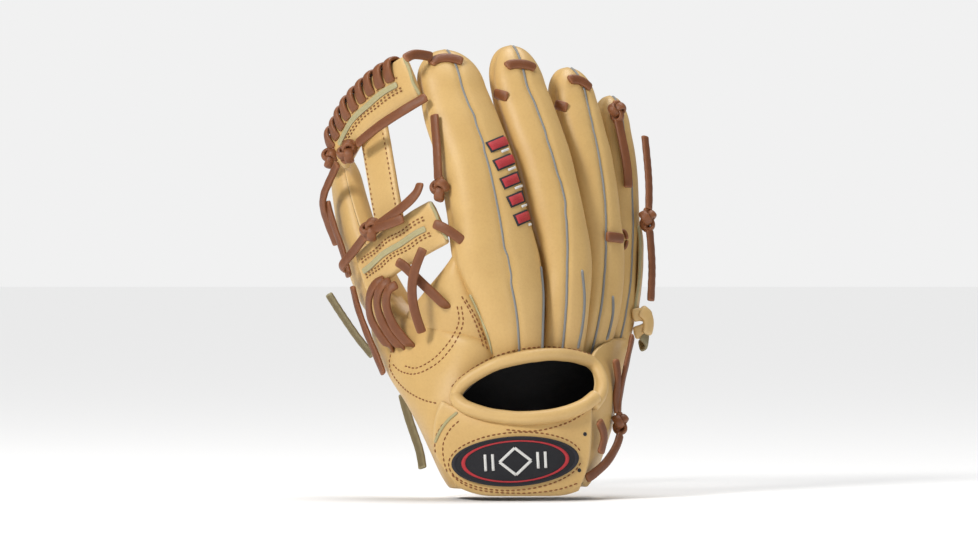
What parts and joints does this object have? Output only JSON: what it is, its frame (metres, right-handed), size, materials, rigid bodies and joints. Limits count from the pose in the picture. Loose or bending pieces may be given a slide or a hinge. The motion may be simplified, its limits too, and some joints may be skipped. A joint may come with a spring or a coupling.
{
  "type": "baseball glove",
  "caption": "Fielder's baseball glove for the right hand: padded leather finger stalls, laced I-shaped web, open back with a wrist strap, and rawhide lacing.",
  "frame": {"origin": "middle of the wrist opening, at the heel", "axes": "+Z from the wrist to the fingertips, +Y out of the palm towards the pocket, -X towards the thumb"},
  "size_m": [0.2118, 0.1375, 0.2767],
  "materials": {
    "shell": "smooth oiled tan steerhide with fine grain",
    "lacing": "waxed red-brown rawhide lace",
    "welt": "grey split-leather welting",
    "lining": "black brushed lining",
    "padding": "pressed wool felt",
    "patch": "black embroidered patch with a red ring"
  },
  "bodies": {
    "palm": {"index_back": "shell", "index_front": "shell", "middle_back": "shell", "middle_front": "shell", "palm_leather": "shell", "palm_padding": "padding", "palm_lining": "lining", "wrist_side_panel": "shell", "thumb_base_panel": "shell", "outer_side_panel": "shell", "opening_binding": "shell", "index_welt": "welt", "middle_welt": "welt", "finger_tip_laces": "lacing", "index_knot": "lacing", "index_tail": "lacing", "heel_laces": "lacing", "heel_knot": "lacing", "wrist_tail": "lacing"},
    "thumb_side": {"thumb_back": "shell", "thumb_front": "shell", "web_top_bar": "shell", "web_top_bar_inner": "shell", "web_bottom_bar": "shell", "web_bottom_bar_inner": "shell", "web_post": "shell", "web_post_inner": "shell", "web_edge_lacing": "lacing", "web_upper_lace": "lacing", "web_lower_lace": "lacing", "thumb_loops": "lacing", "crossing_lace": "lacing", "thumb_edge_lace": "lacing", "web_upper_knot": "lacing", "web_lower_knot": "lacing", "web_tail": "lacing", "crossing_tail": "lacing", "thumb_tail": "lacing"},
    "outer_side": {"ring_back": "shell", "ring_front": "shell", "pinky_back": "shell", "pinky_front": "shell", "outer_palm_leather": "shell", "outer_palm_padding": "padding", "outer_palm_lining": "lining", "outer_band": "shell", "ring_welt": "welt", "pinky_welt": "welt", "outer_tip_laces": "lacing", "pinky_tip_knot": "lacing", "outer_knot": "lacing", "outer_wrap_knot": "shell", "outer_upper_tail": "lacing", "outer_lower_tail": "lacing", "pinky_tail": "lacing"},
    "strap": {"wrist_strap": "shell", "strap_lining": "lining", "strap_roll": "shell", "strap_patch": "patch"}
  },
  "joints": [
    {"name": "thumb_close", "type": "hinge", "parent": "palm", "child": "thumb_side", "pos_m": [-0.036, 0.02, 0], "axis": [0.082, 0.0949, -0.9921], "range_deg": [0, 25]},
    {"name": "outer_close", "type": "hinge", "parent": "palm", "child": "outer_side", "pos_m": [0.03, 0.034, 0], "axis": [0.013, 0.0174, 0.9998], "range_deg": [0, 12]},
    {"name": "strap_lift", "type": "hinge", "parent": "palm", "child": "strap", "pos_m": [-0.05, -0.028, 0], "axis": [0, 0, -1], "range_deg": [0, 10]}
  ]
}
